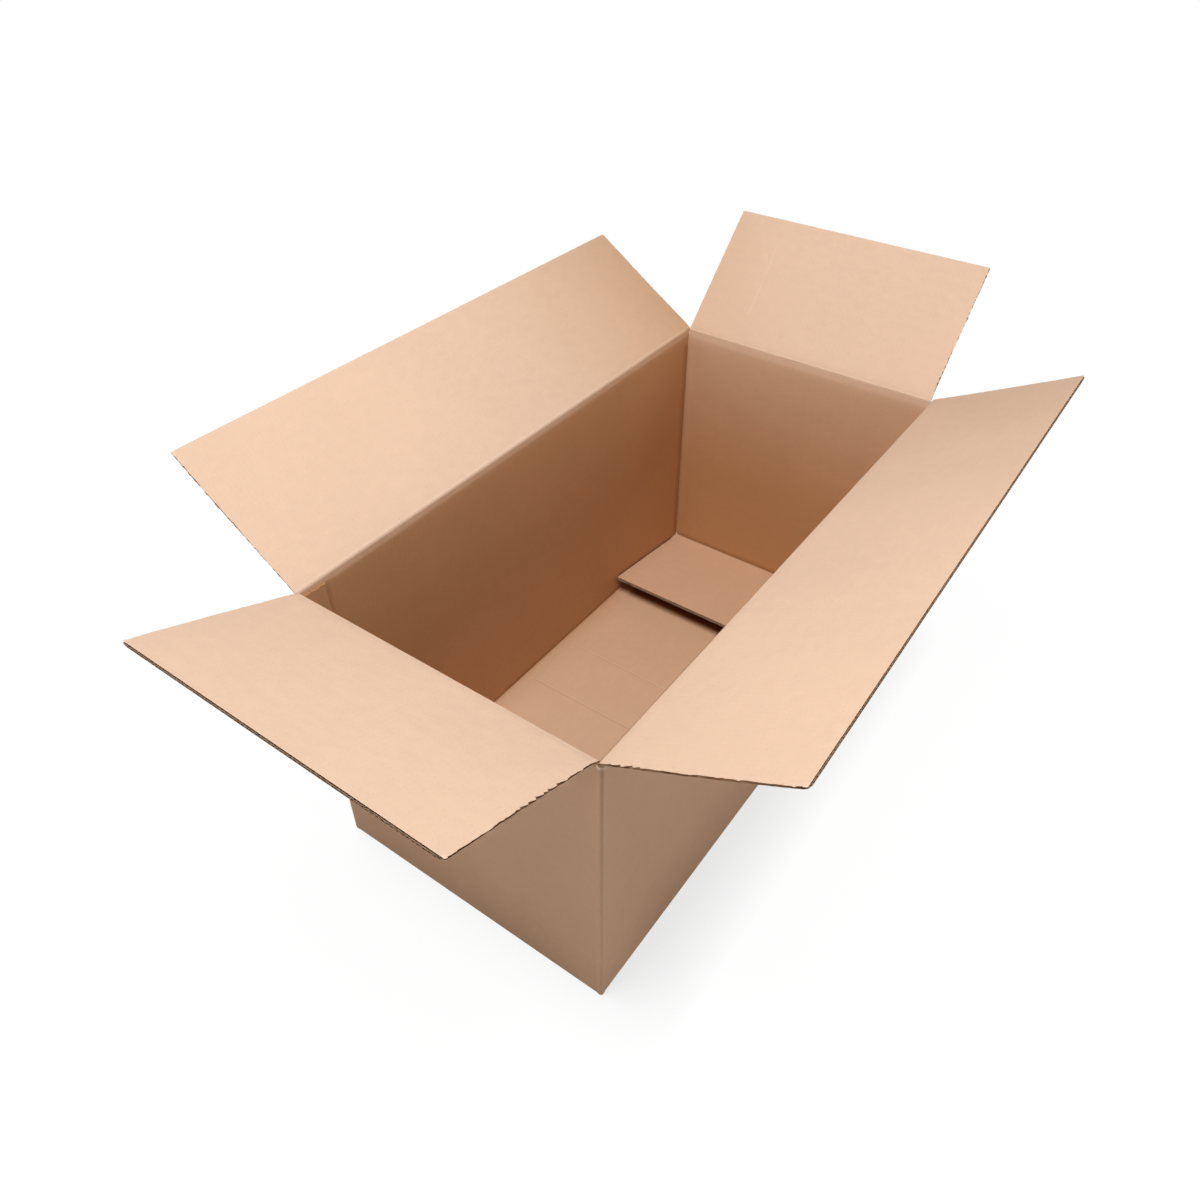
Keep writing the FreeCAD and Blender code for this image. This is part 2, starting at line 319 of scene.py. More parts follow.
# %% Make the paper materials
def paper(name, colour, painted_shade, flute_pitch, relief, roughness):
    """Kraft paper: the first colour is its usual tone, and the second a darker tone painted as shade where
    the box's inside lies in shade.
    """
    material = bpy.data.materials.new(name)
    tree = fresh_tree(material)
    blank = add_node(tree, "ShaderNodeUVMap", uv_map="blank").outputs[0]

    clouds = noise(tree, blank, (5, 3), 4)
    blotches = noise(tree, blank, (45, 70), 4)
    fibres = noise(tree, blank, (260, 1500), 4, 0.65)
    grain = noise(tree, blank, (1400, 1900), 2)
    speck_field = noise(tree, blank, (420, 650), 1, 0.3)
    across_flutes = add_node(tree, "ShaderNodeSeparateXYZ")
    wire(tree, blank, across_flutes.inputs[0])
    wander = math_node(tree, "MULTIPLY", blotches, 0.8)
    turns = math_node(tree, "MULTIPLY", across_flutes.outputs[0], 2 * math.pi / flute_pitch)
    washboard = math_node(tree, "SINE", math_node(tree, "ADD", turns, wander))

    # The depth mark paints shade: it mixes the paper towards its darker tone where the box's shade falls.
    tone = tint(tree, colour, mark(tree, "depth"), painted_shade, "MIX")
    tone = tint(tree, tone, 0.20, ramp(tree, clouds, ((0.30, 0.86), (0.70, 1.10))))
    tone = tint(tree, tone, 0.22, ramp(tree, blotches, ((0.25, 0.86), (0.75, 1.08))))
    tone = tint(tree, tone, 0.20, ramp(tree, fibres, ((0.28, 0.76), (0.72, 1.14))))
    tone = tint(tree, tone, 0.3, ramp(tree, grain, ((0.2, 0.88), (0.8, 1.08))))
    dark_specks = ramp(tree, speck_field, ((0.0, 0.45), (0.235, 0.62), (0.265, 1.0)))
    tone = tint(tree, tone, 0.55, dark_specks)
    light_specks = ramp(tree, speck_field, ((0.74, 0.0), (0.80, 0.30)))
    tone = tint(tree, tone, light_specks, (0.95, 0.80, 0.62), "MIX")
    stripes = math_node(tree, "MULTIPLY", washboard, 0.5)
    stripes = math_node(tree, "ADD", stripes, 0.5)
    tone = tint(tree, tone, 0.04, ramp(tree, stripes, ((0.0, 0.86), (1.0, 1.06))))
    # The score mark is painted shade: dark lines in scores, creases, corners and gaps.
    tone = tint(tree, tone, mark(tree, "score"), (0.62, 0.54, 0.47))
    # The wear mark lightens worn edges and torn tips, and also paints highlights along rims and creases.
    tone = tint(tree, tone, mark(tree, "wear"), (0.90, 0.74, 0.58), "MIX")

    height = math_node(tree, "MULTIPLY", washboard, 0.22 * relief)
    for source, share in ((fibres, 0.20), (grain, 0.10), (blotches, 0.6)):
        height = math_node(tree, "ADD", height, math_node(tree, "MULTIPLY", source, share))
    bump = add_node(tree, "ShaderNodeBump")
    bump.inputs["Strength"].default_value = 0.35
    bump.inputs["Distance"].default_value = 0.22 * MM
    wire(tree, height, bump.inputs["Height"])

    shader = add_node(tree, "ShaderNodeBsdfPrincipled")
    shader.inputs["Specular IOR Level"].default_value = 0.22
    gloss = math_node(tree, "MULTIPLY", blotches, 0.16)
    wire(tree, math_node(tree, "ADD", gloss, roughness - 0.08), shader.inputs["Roughness"])
    wire(tree, tone, shader.inputs["Base Color"])
    wire(tree, bump.outputs[0], shader.inputs["Normal"])
    output = add_node(tree, "ShaderNodeOutputMaterial")
    wire(tree, shader.outputs[0], output.inputs["Surface"])
    return material


C_PITCH = 7.5 * MM
B_PITCH = 6.1 * MM
inside_paper = paper("inside_liner", (0.765, 0.535, 0.385), (0.575, 0.31, 0.146), C_PITCH, 1.0, 0.78)
outside_paper = paper("outside_liner", (0.60, 0.37, 0.232), (0.35, 0.20, 0.11), B_PITCH, 0.8, 0.74)
raw_paper = paper("fluted_medium", (0.40, 0.205, 0.095), (0.11, 0.053, 0.026), C_PITCH, 0.3, 0.9)
lip_paper = paper("cut_lips", (0.52, 0.285, 0.145), (0.30, 0.16, 0.08), C_PITCH, 0.3, 0.88)
PAPERS = [inside_paper, outside_paper, raw_paper, lip_paper]
INSIDE, OUTSIDE, RAW, LIP = range(4)
print("papers:", [material.name for material in PAPERS])

# %% [markdown]
# ## A panel is a section carried along its fold
# Every panel of the carton, a wall with its bottom flap or a top flap with its score, has one section all
# along its fold. The section is two lines, for the inner and the outer face, that run together from one
# end to the other. A reader can then place any point of the board with three numbers: how far along the
# fold, how far along the section, and which share of the thickness.

# %% Sections and placing
class Section:
    """Two lines across a panel. Each point has a place along the section and (outward, up) offsets."""

    def __init__(self, path, inner, outer):
        self.path = np.array(path, float)
        self.inner = np.array(inner, float)
        self.outer = np.array(outer, float)

    def at(self, path, share):
        """The (outward, up) offsets at a place along the section and a share of the thickness."""
        pair = []
        for axis in (0, 1):
            inner = np.interp(path, self.path, self.inner[:, axis])
            outer = np.interp(path, self.path, self.outer[:, axis])
            pair.append(outer + share * (inner - outer))
        return pair

    def inward(self, path):
        """The unit direction from the outer line to the inner line."""
        low, high = self.at(path, 0.0), self.at(path, 1.0)
        step = np.stack([high[0] - low[0], high[1] - low[1]], -1)
        return step / np.linalg.norm(step, axis=-1, keepdims=True)


def placer(section, origin, along, out, warp, crush, shape):
    """A function that places (along the fold, along the section, share of thickness) in the frame.

    warp(fold, path) moves both faces together, in metres towards the inner side. crush(fold, path) is
    the share of the thickness by which the outer face is pressed towards the inner one. shape(fold,
    path) gives moves along the fold, outward and up."""
    def place(fold, path, share):
        fold, path, share = np.broadcast_arrays(fold, path, share)
        share = share + (1 - share) * crush(fold, path)
        outward, up = section.at(path, share)
        push = warp(fold, path)
        normal = section.inward(path)
        slide, spread, rise = shape(fold, path)
        outward = outward + push * normal[..., 0] + spread
        up = up + push * normal[..., 1] + rise
        return (origin + (fold + slide)[..., None] * along + outward[..., None] * out + up[..., None] * UP)
    return place


def pressed(distance, reach, share):
    """How far a cut edge is pressed flat: share at the edge, easing to nothing at reach from it."""
    return share * np.clip(1 - distance / reach, 0, 1) ** 1.5

# %% [markdown]
# ## One piece of board
# With a placing function, a piece of board is a matter of rows and columns. The rows run across the section
# and are given. The columns follow the fold and lie closer together near the slots, where a knife has torn
# the papers. The rim's rings start at the borders of the two papers, step over the lips and go down into
# the hollow, and at the free edge the hollow is deep, so that there is room for the open flutes.

# %% Make a piece of board
LIP_THICKNESS = 0.45 * MM
END_FADE = 12 * MM
END_POCKET = 0.2 * MM
FLUTE_DEPTH = 14 * MM
COLUMN_STEP = 9 * MM
# Where each kind of paper starts on the blank, in metres, so that no two of them show the same marks.
OUTER_START, MEDIUM_START, CORNER_START, GLUE_START = 3.7, 1.3, 5.0, 9.0


def columns_for(half, extra):
    """Places along a fold: closer together near both ends, where the slots are cut, and with extra ones."""
    near = np.array([0, 0.8, 2, 3.6, 6, 9, 13]) * MM
    middle = np.linspace(-half + 18 * MM, half - 18 * MM, int(2 * half / COLUMN_STEP))
    return np.unique(np.concatenate([-half + near, middle, half - near, extra]))


def board_piece(name, place, rows, half, edges, pockets, open_row, marks, blank_start, extra=()):
    """A closed piece of board from its placing function.

    rows are the places along the section. edges(path) gives how far the inner and the outer paper stand
    out past the half span at the low and at the high end. pockets(path) is the hollow's depth at the two
    cut sides, and the row named by open_row, 0 or -1, shows the open flutes.
    marks(fold, path, is_inner, is_rim) gives the attributes."""
    base = columns_for(half, np.array(extra))
    columns = len(base)
    count = len(rows)
    fade = np.clip(1 - (half - np.abs(base)) / END_FADE, 0, 1)
    low_side = base < 0
    path = np.repeat(rows[:, None], columns, 1)
    skins, folds = [], []
    for share, paper_edges in ((1.0, 0), (0.0, 1)):
        low_edge, high_edge = edges(rows)[paper_edges]
        shift = np.where(low_side[None, :], -low_edge[:, None], high_edge[:, None])
        fold = base[None, :] + shift * fade[None, :]
        folds.append(fold)
        skins.append(place(fold, path, share))

    border = rim_loop(count, columns)
    row, column = border[:, 0], border[:, 1]
    depth = pockets(rows)[row]
    inward_fold = np.where(column == 0, depth, 0) - np.where(column == columns - 1, depth, 0)
    end_depth = np.zeros(count)
    end_depth[0] = END_POCKET
    end_depth[-1] = -END_POCKET
    end_depth[open_row] *= FLUTE_DEPTH / END_POCKET
    inward_path = end_depth[row]
    lip_share = LIP_THICKNESS / BOARD
    border_path = path[row, column]
    rings = []
    for which, share, moved in ((0, 1 - lip_share, False), (0, 1 - lip_share, True),
                                (1, lip_share, True), (1, lip_share, False)):
        fold = folds[which][row, column] + (inward_fold if moved else 0)
        rings.append((fold, border_path + (inward_path if moved else 0), share))
    ring_points = [place(*ring) for ring in rings]

    cells = count * columns
    points = np.concatenate([skins[0].reshape(-1, 3), skins[1].reshape(-1, 3), *ring_points])
    inner_border = row * columns + column
    loops = [inner_border]
    for step in range(4):
        loops.append(2 * cells + step * len(border) + np.arange(len(border)))
    loops.append(cells + inner_border)
    faces = [grid_faces(count, columns, 0), grid_faces(count, columns, cells)]
    paints = [np.full(len(faces[0]), INSIDE), np.full(len(faces[1]), OUTSIDE)]
    for step, paint in enumerate((LIP, RAW, RAW, RAW, LIP)):
        faces.append(ring_faces(loops[step], loops[step + 1]))
        paints.append(np.full(len(border), paint))

    all_fold = np.concatenate([folds[0].ravel(), folds[1].ravel(), *[ring[0] for ring in rings]])
    all_path = np.concatenate([path.ravel(), path.ravel(), *[ring[1] for ring in rings]])
    is_inner = np.arange(len(points)) < cells
    is_rim = np.arange(len(points)) >= 2 * cells
    flat = np.stack([blank_start + all_fold, all_path + np.where(is_inner, 0.0, OUTER_START)], -1)
    piece = make_mesh(name, points, np.concatenate(faces), PAPERS, np.concatenate(paints), flat,
                      marks(all_fold, all_path, is_inner, is_rim))
    print(name, "points", len(points), "faces", len(piece.data.polygons))
    return piece

# %% [markdown]
# ## The open flutes along a free edge
# Across the free edge of a flap one looks into the two fluted mediums: the taller flute lies under the
# inside paper, the finer flute under the outside paper, and a flat paper runs between them. Each medium
# is a thin wavy strip that goes a centimetre and a half into the hollow. Real flutes are a little crushed
# here and there, so their height and rhythm wander.

# %% Flute strips
MEDIUM = 0.32 * MM
MIDDLE_PAPER = 2.85 * MM


def wave_strip(place, start, end, front, back, centre, height, pitch, seed):
    """Points and faces of one thin strip whose mid line waves between two papers."""
    samples = int((end - start) / (pitch or 8 * MM) * (10 if pitch else 1)) + 2
    fold = np.linspace(start, end, samples)
    if pitch:
        crush = 1 - np.abs(ragged(fold, 31 * MM, 0.22, seed))
        drift = ragged(fold, 47 * MM, 0.9, seed + 1)
        swing = np.sin(2 * np.pi * fold / pitch + drift)
        rise = np.tanh(1.5 * swing) / np.tanh(1.5) * height / 2 * crush
    else:
        rise = ragged(fold, 23 * MM, 0.12 * MM, seed)
    middle = centre + rise
    sign = -1.0 if back > front else 1.0
    lip = front - sign * np.abs(ragged(fold, 3 * MM, 0.5 * MM, seed + 2))
    rings = []
    for depth, offset in ((lip, MEDIUM / 2), (lip, -MEDIUM / 2),
                          (np.full(samples, back), -MEDIUM / 2), (np.full(samples, back), MEDIUM / 2)):
        rings.append(place(fold, depth, (middle + offset) / BOARD))
    points = np.stack(rings, 1).reshape(-1, 3)
    flat = np.stack([np.repeat(fold, 4), np.repeat(middle, 4) + MEDIUM_START], -1)
    first = np.arange(samples - 1) * 4
    faces = [np.stack([first + side, first + (side + 1) % 4, first + 4 + (side + 1) % 4,
                       first + 4 + side], -1) for side in range(4)]
    last = (samples - 1) * 4
    ends = np.array([[3, 2, 1, 0], [last, last + 1, last + 2, last + 3]])
    return points, np.concatenate([*faces, ends]), flat


def flute_piece(name, place, start, end, edge, sign, seed):
    """Both mediums and the middle paper along an open edge, as one piece.

    sign is 1 where the edge is at the high end of the section, and -1 at the low end."""
    front = edge - sign * 0.25 * MM
    back = edge - sign * (FLUTE_DEPTH + 1 * MM)
    tall_centre = (MIDDLE_PAPER + BOARD - LIP_THICKNESS) / 2
    fine_centre = (MIDDLE_PAPER + LIP_THICKNESS) / 2
    tall = BOARD - LIP_THICKNESS - MIDDLE_PAPER - MEDIUM
    fine = MIDDLE_PAPER - LIP_THICKNESS - MEDIUM
    points, faces, flats, total = [], [], [], 0
    for centre, height, pitch, extra in ((tall_centre, tall, C_PITCH, 0), (fine_centre, fine, B_PITCH, 50),
                                         (MIDDLE_PAPER, 0, None, 90)):
        strip_points, strip_faces, strip_flat = wave_strip(place, start, end, front, back, centre,
                                                           height, pitch, seed + extra)
        points.append(strip_points)
        faces.append(strip_faces + total)
        flats.append(strip_flat)
        total += len(strip_points)
    points = np.concatenate(points)
    # Painted shade deep in the hollow, at the back of each strip; the front edges are lighter.
    hollow_shade = np.tile([0.0, 0.0, 1.0, 1.0], total // 4)
    marks = {"depth": hollow_shade, "score": np.zeros(total), "wear": 0.26 * (1 - hollow_shade)}
    paints = np.full(sum(len(part) for part in faces), RAW)
    piece = make_mesh(name, points, np.concatenate(faces), PAPERS, paints, np.concatenate(flats), marks)
    print(name, "faces", len(piece.data.polygons))
    return piece

# %% [markdown]
# ## The top flaps and their scores
# A flap is joined to its wall by a score: a line where a wheel crushed the board. Folded outwards, the
# inside paper rolls over the rim in a soft band, on three of the flaps with a dark line of painted shade
# along the score beside it and on two with a thin painted highlight along the rim, and the outside paper
# pinches to a crease with a little painted shade. The wall below the rim is painted in the box's shade,
# and three flaps darken in painted shade towards one end. The hinges of the long flaps lie one board
# higher, so that these flaps close over the short ones. Opened this far, their crushed scores sag, and the
# rim looks level all round, so a drop is blended in there.

# %% The flaps' section
WALL_LAP = 30 * MM


def flap_section(lean, length, look):
    """From the wall, round the score, to the flap's free edge.

    The board is thinned at the fold, over one reach on the wall and another on the flap."""
    wall = -np.array([30, 26, 22, 19, 16, 13.5, 11.5, 9.5, 8, 6.5, 5.2, 4.2, 3.2, 2.4, 1.6, 0.9, 0.3]) * MM
    flap = np.concatenate([
        np.array([0.3, 0.8, 1.3, 1.8, 2.3, 2.9, 3.6, 4.4, 5.4, 6.6, 8, 10, 12.5]) * MM,
        np.arange(15 * MM, length - 7 * MM, 2.4 * MM),
        length - np.array([5.4, 4.2, 3.2, 2.4, 1.7, 1.1, 0.6, 0.25, 0.0]) * MM])
    angles = np.linspace(0, lean, 9)
    outward = (math.sin(lean), math.cos(lean))
    normal = (-math.cos(lean), math.sin(lean))
    arc_length = (BOARD - look["crush"]) * lean

    def thickness(place):
        """What is left of the board at a distance from the fold."""
        reach = np.where(place < 0, look["wall_reach"], look["flap_reach"])
        return BOARD - look["crush"] * bell(place, reach)

    def pinch(place):
        """How far the outer paper draws in at the fold."""
        return 0.5 * MM * bell(place, 2.5 * MM)

    path = np.concatenate([wall, angles / lean * arc_length, arc_length + flap])
    place = np.concatenate([wall, np.zeros(len(angles)), flap])
    thick, drawn = thickness(place), pinch(place)
    inner = np.zeros((len(path), 2))
    outer = np.zeros((len(path), 2))
    first, second = len(wall), len(wall) + len(angles)
    for line, offset in ((inner, thick), (outer, drawn)):
        line[:first, 0] = -offset[:first]
        line[:first, 1] = wall
        line[first:second, 0] = -np.cos(angles) * offset[first:second]
        line[first:second, 1] = np.sin(angles) * offset[first:second]
        for axis in (0, 1):
            line[second:, axis] = normal[axis] * offset[second:] + outward[axis] * flap
    return Section(path, inner, outer), path, arc_length

# %% [markdown]
# ## How each flap differs
# Made by hand and used before, no two flaps are quite alike. Each has its own seed for the torn edges,
# its own score, and small departures at its corners: how far its root and its free edge stand past the
# slots at each end, and how much longer it is there. It also has its own shares of how hard its two cut
# sides and its free edge are pressed, and how far its two sides are torn. The long flaps' roots reach out
# to the corners of the carton. An end flap hardly gets wider, because it has to close between the long
# walls.

# %% Describe the four flaps
# The looks also set painted light: shade painted on the wall below the rim, a dark line of painted shade
# along the score and its width, a painted highlight along the rim, and painted shade towards one end of a
# flap.
LONG_SCORE = {"crush": 0.9 * MM, "wall_reach": 6 * MM, "flap_reach": 9 * MM, "drop": 6 * MM, "side": -1,
              "bow": 0.8 * MM, "knife": 0.0, "most": 2.5 * MM, "wide_score": 1.1 * MM,
              "shade": (0.04, 6.5 * MM)}
END_SCORE = {"crush": 1.0 * MM, "wall_reach": 7 * MM, "flap_reach": 5 * MM, "drop": 0.0, "side": 1,
             "bow": 0.6 * MM, "knife": -0.9 * MM, "most": 0.2 * MM, "wide_score": 1.2 * MM,
             "shade": (0.02, 15 * MM)}
FLAP_LOOKS = {
    "left_long_flap": {
        **LONG_SCORE, "score": 0.0, "bright_rim": 0.2, "seed": 11, "root_wide": (7 * MM, 7 * MM),
        "tip_wide": (2 * MM, 5 * MM), "tip_long": (-2.8 * MM, -5 * MM), "pressed": (0.75, 0.5, 0.35),
        "torn": (0.6, 0.4), "far_tone": 0.5, "blank": 0.0},
    "far_end_flap": {
        **END_SCORE, "score": 0.8, "bright_rim": 0.0, "seed": 23, "root_wide": (0.2 * MM, 0.2 * MM),
        "tip_wide": (-1.2 * MM, -1.2 * MM), "tip_long": (0, 1.5 * MM), "pressed": (0.7, 0.9, 0.3),
        "torn": (0.7, 0.15), "far_tone": 0.15, "blank": 0.914},
    "right_long_flap": {
        **LONG_SCORE, "score": 0.8, "bright_rim": 0.0, "seed": 37, "root_wide": (7.2 * MM, 7.2 * MM),
        "tip_wide": (0, 5 * MM), "tip_long": (4 * MM, -9 * MM), "pressed": (0.6, 0.5, 0.4),
        "torn": (0.9, 0.5), "far_tone": 0.10, "blank": 1.378},
    "near_end_flap": {
        **END_SCORE, "score": 0.3, "bright_rim": 0.1, "seed": 41, "root_wide": (0.2 * MM, 0.2 * MM),
        "tip_wide": (0.2 * MM, 0.2 * MM), "tip_long": (-0.5 * MM, -2.9 * MM), "pressed": (0.75, 0.5, 0.35),
        "torn": (1.1, 0.35), "far_tone": 0.0, "blank": 2.292},
}
CORNER_ROUND = 0.8 * MM
GLUE_WIDTH = 35 * MM
END_WALL_SHADE = 0.5
CREASE_ROOT = (130 * MM, 43 * MM)
CREASE_TIP = (133 * MM, 197 * MM)


def knife_edge(path, seed, amount):
    """How far a paper stands past its line at a slotted side: a ragged cut with a few torn spots."""
    fine = ragged(path, 3.1 * MM, 0.45 * MM * amount, seed)
    coarse = ragged(path, 13 * MM, 0.55 * MM * amount, seed + 1)
    tears = np.clip(ragged(path, 4.3 * MM, 1.0, seed + 2) - 0.68, 0, 1) * 7 * MM * amount
    saw = np.mod(path / (11 * MM) + ragged(path, 9 * MM, 0.25, seed + 3), 1.0)
    patch = np.clip(ragged(path, 37 * MM, 1.8, seed + 4), 0, 1)
    return fine + coarse + tears - 2.6 * MM * amount * patch * saw ** 2


def long_wall_shade(fold, half):
    """The depth of shade on a long wall, a little deeper toward the far end."""
    return 0.92 + 0.08 * climb(fold, half)


def glue_shadow(fold):
    """The fine shadow on the left long wall beside the glue flap's free edge."""
    past = fold + HALF_LENGTH - BOARD - GLUE_WIDTH
    return 0.6 * bell(past, 5.5 * MM) * (past > 0)


def faint_crease(fold, up):
    """1 on a faint curved crease across the far flap, where it was once bent, and 0 away from it."""
    share = climb(up - CREASE_ROOT[1], CREASE_TIP[1] - CREASE_ROOT[1])
    line = CREASE_ROOT[0] + (CREASE_TIP[0] - CREASE_ROOT[0]) * share
    line = line + ragged(up, 26 * MM, 2.2 * MM, 271) + ragged(up, 9 * MM, 0.7 * MM, 273)
    ends = np.clip(share * 8, 0, 1) * np.clip((1 - share) * 8, 0, 1)
    broken = 0.62 + ragged(up, 17 * MM, 0.38, 277)
    return ends * broken * bell(fold - line, 1.1 * MM)

# %% [markdown]
# ## Putting a flap together
# The section and the look give a flap its small functions: how it bows, where its edges are pressed, how
# it widens and sags, how its cut sides run and which marks it carries. Two pieces come of them: the board,
# whose section runs round its score, and the flutes in its free edge, which ride on the flap. One function
# places both, so the flutes lie exactly in the board's own edge.

# %% Make the four flaps
def make_flap(name):
    """One top flap with its score, its open flutes and its slotted sides."""
    hinge, look = HINGES[name], FLAP_LOOKS[name]
    section, rows, arc = flap_section(hinge["lean"], hinge["length"], look)
    free, half, lean, seed = rows[-1], hinge["half"], hinge["lean"], look["seed"]
    creased = name == "far_end_flap"

    def up_flap(path):
        """0 at the score and 1 at the free edge."""
        return climb(path - arc, hinge["length"])

    def on_flap(path):
        """0 at the score, 1 from a little way up the flap."""
        return climb(path - arc - 2 * MM, 14 * MM)

    def warp(fold, path):
        wave = (1 + slow_waves(fold, path, 0.5, 1.0, seed)) / 2
        bend = look["bow"] * np.sin(np.pi * up_flap(path)) + 0.9 * MM * wave
        push = look["side"] * on_flap(path) * bend
        if creased:
            push = push + 0.25 * MM * faint_crease(fold, path - arc)
        return push

    def crush(fold, path):
        low, high, tip = look["pressed"]
        at_side = pressed(half - np.abs(fold), 9 * MM, np.where(fold < 0, low, high))
        at_free = pressed(free - path, 5 * MM, tip)
        return 1 - (1 - at_side * climb(path + 2 * MM, 4 * MM)) * (1 - at_free)

    def shape(fold, path):
        up = up_flap(path)
        side = np.clip(fold / half, -1, 1)
        wide = [root + (tip - root) * up for root, tip in zip(look["root_wide"], look["tip_wide"])]
        wide = np.where(side < 0, -wide[0], wide[1]) * climb(path + 6 * MM, 5 * MM)
        longer = look["tip_long"][0] * (1 - side) / 2 + look["tip_long"][1] * (1 + side) / 2
        settle = climb(path + WALL_LAP, WALL_LAP - 2 * MM)
        sag = look["drop"] * settle ** 2 * (3 - 2 * settle) * (1 - up)
        return (wide * np.abs(side) ** 3, longer * up * math.sin(lean),
                longer * up * math.cos(lean) - sag)

    def edges(path):
        to_corner = climb(path - (free - CORNER_ROUND), CORNER_ROUND)
        rounded = CORNER_ROUND * (1 - np.sqrt(1 - to_corner ** 2))
        pairs = []
        for paper_seed, amount in ((seed, 1.0), (seed + 500, 0.8)):
            lines = []
            for end, torn in zip((0, 7), look["torn"]):
                cut = look["knife"] + knife_edge(path, paper_seed + end, amount * torn)
                lines.append(on_flap(path) * np.minimum(cut, look["most"]) - rounded)
            pairs.append(lines)
        return pairs

    def pockets(path):
        return 0.3 * MM + on_flap(path) * (1.5 * MM + ragged(path, 17 * MM, 0.8 * MM, seed + 3))

    def marks(fold, path, is_inner, is_rim):
        # Painted shade: a dark line along the score inside, and a softer one over the crease outside.
        score_shade_line = bell(path - arc * 0.6, look["wide_score"])
        score_shade_line = score_shade_line * (0.8 + ragged(fold, 23 * MM, 0.2, seed + 4))
        outer_crease_shade = bell(path - arc / 2, 2.5 * MM)
        rim = bell(path - arc, 1.3 * MM)
        # Painted shade on the wall below the rim, deepening downwards, and on the flaps towards one end.
        first, reach = look["shade"]
        below = np.clip(-path - ragged(fold, 41 * MM, 1.2 * MM, seed + 5), 0, WALL_LAP)
        down = (1 - np.exp(-below / reach)) / (1 - math.exp(-WALL_LAP / reach))
        full = END_WALL_SHADE if look["side"] > 0 else long_wall_shade(fold, half)
        shade = np.where(path < 0.5 * MM, first + (full - first) * down, 0.0)
        far = climb(fold / half - 0.1, 0.9) ** 1.5
        shade = np.maximum(shade, look["far_tone"] * far * (1.25 - 0.35 * up_flap(path)))
        at_edge = np.clip(1 - (free - path) / (1.6 * MM), 0, 1)
        to_tip = np.hypot(half - np.abs(fold), free - path)
        cut_side = is_rim & (half - np.abs(fold) < 7 * MM) & (path > 2 * MM)
        torn = 0.13 + ragged(path, 5 * MM, 0.12, seed + 6)
        # Worn free edges, crushed tips and torn cut sides are lighter; a painted highlight runs along the
        # rim, and on the far flap along its faint crease.
        worn_and_lit = 0.15 * at_edge * is_inner + 0.6 * np.clip(1 - to_tip / (7 * MM), 0, 1) + torn * cut_side
        worn_and_lit = worn_and_lit + look["bright_rim"] * rim * is_inner
        if creased:
            worn_and_lit = worn_and_lit + 0.34 * faint_crease(fold, path - arc)
        inner_painted_shade = look["score"] * score_shade_line
        if name == "left_long_flap":
            inner_painted_shade = inner_painted_shade + glue_shadow(fold) * climb(-path - 3 * MM, 5 * MM)
        # The lip of the free edge is painted in shade.
        return {"depth": np.where(is_inner, shade, at_edge * is_rim),
                "score": np.where(is_inner, inner_painted_shade, 0.5 * outer_crease_shade),
                "wear": worn_and_lit}

    place = placer(section, hinge["pivot"], hinge["along"], hinge["out"], warp, crush, shape)
    extra = np.arange(122, 142, 1.2) * MM if creased else ()
    board = board_piece(f"{name}_board", place, rows, half, edges, pockets, -1, marks, look["blank"], extra)
    inset = CORNER_ROUND + 2 * MM
    flutes = flute_piece(f"{name}_flutes", place, -half + inset, half - inset, free, 1, seed + 900)
    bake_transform(board)
    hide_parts(name)
    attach(flutes, name)
    return board


for flap in FLAP_LOOKS:
    make_flap(flap)

# %% [markdown]
# ## The walls with their bottom flaps
# Each wall is one panel with its bottom flap: the long bottom flaps turn under and meet along the middle,
# and the short ones lie on top of them inside. Their scores are in line with the others, so a short flap
# has to climb over the ends of the long ones and springs up a little, as the far one does here.

# %% The wall sections
def wall_rows(top, bottom):
    """Places up a wall, closer together near both of its folds."""
    return np.concatenate([bottom + np.array([0, 1.5, 3, 5, 8, 12, 18]) * MM,
                           np.linspace(bottom + 30 * MM, top - 24 * MM, 22),
                           top - np.array([12, 6, 0]) * MM])


def long_wall_section(top, seam):
    """From the seam in the floor, out along the bottom, round the fold and up the wall."""
    run = np.linspace(-HALF_WIDTH + seam, -12 * MM, 30)
    inner = [(place, BOARD) for place in run]
    outer = [(place, 0.0) for place in run]
    inner += [(-9.5 * MM, BOARD), (-8.2 * MM, 7.2 * MM), (-7.3 * MM, 7.9 * MM), (-7 * MM, 9.2 * MM),
              (-7 * MM, 11 * MM)]
    outer += [(-6 * MM, 0), (-3 * MM, 0.15 * MM), (-0.9 * MM, 0.9 * MM), (-0.1 * MM, 3.2 * MM),
              (0, 7 * MM)]
    for height in wall_rows(top, 14 * MM):
        inner.append((-BOARD, height))
        outer.append((0.0, height))
    return inner, outer


